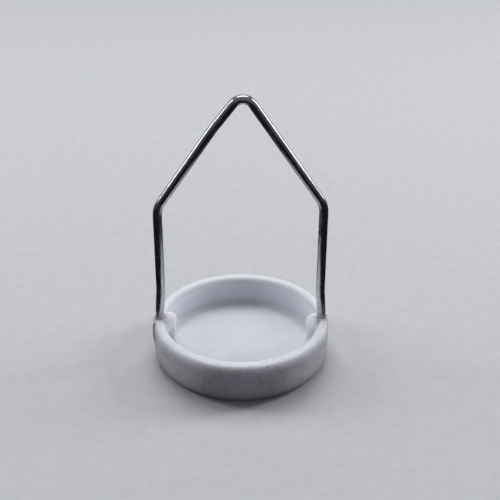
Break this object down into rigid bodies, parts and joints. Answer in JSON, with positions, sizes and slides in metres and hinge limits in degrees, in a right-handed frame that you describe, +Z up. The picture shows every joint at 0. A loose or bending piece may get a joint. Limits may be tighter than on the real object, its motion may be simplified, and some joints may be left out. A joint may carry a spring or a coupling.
{
  "type": "porcelain crucible",
  "caption": "Small shallow round porcelain crucible with a peaked wire bail, a hang-down sample pan for a thermal balance.",
  "frame": {"origin": "centre of the dish's flat base", "axes": "+Z up along the dish's axis; the bail stands in the XZ plane"},
  "size_m": [0.0102, 0.01, 0.0161],
  "materials": {
    "porcelain": "matte unglazed white porcelain",
    "wire": "polished drawn wire"
  },
  "bodies": {
    "dish": {"dish": "porcelain"},
    "bail": {"bail": "wire"}
  },
  "joints": [
    {"name": "bail_lift", "type": "slide", "parent": "dish", "child": "bail", "axis": [0, 0, 1], "range_m": [0, 0.003]}
  ]
}
